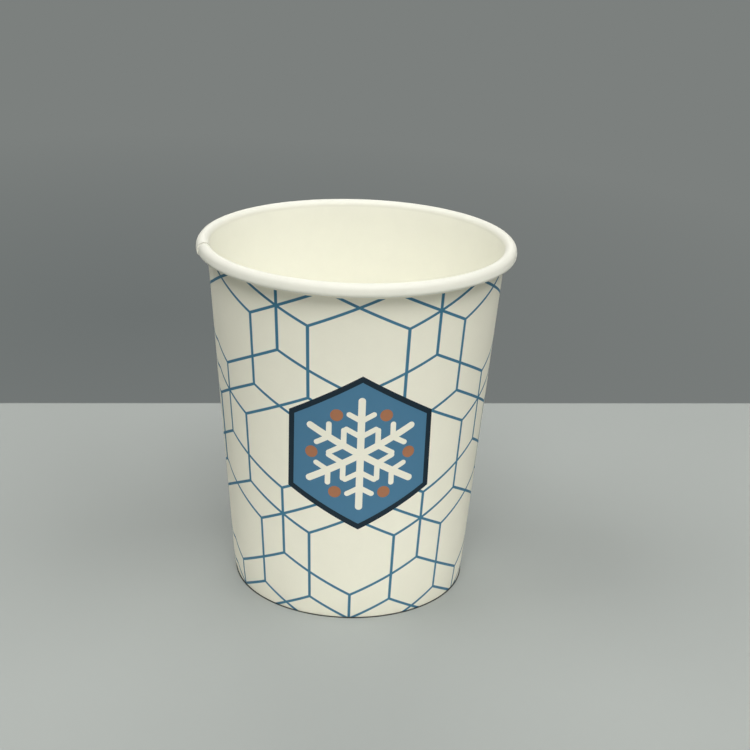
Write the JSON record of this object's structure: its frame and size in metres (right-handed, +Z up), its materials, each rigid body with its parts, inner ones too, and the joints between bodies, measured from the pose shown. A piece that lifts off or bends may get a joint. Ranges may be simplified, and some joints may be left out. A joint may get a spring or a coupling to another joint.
{
  "type": "paper ice cream cup",
  "caption": "Tapered round paperboard tub with a rolled rim, a lapped side seam and a recessed base, printed outside with a line honeycomb, for serving ice cream.",
  "frame": {"origin": "middle of the base, on the table", "axes": "+Z up along the cup's axis, -Y towards the front of the print, the lap seam on the -X side"},
  "size_m": [0.117, 0.117, 0.1335],
  "materials": {
    "printed_card": "coated off-white cup board, satin inside and over the rim, printed with blue line work outside",
    "plain_card": "coated off-white cup board, satin"
  },
  "bodies": {
    "root": {"side_wall": "printed_card", "base_disc": "plain_card"}
  },
  "joints": []
}
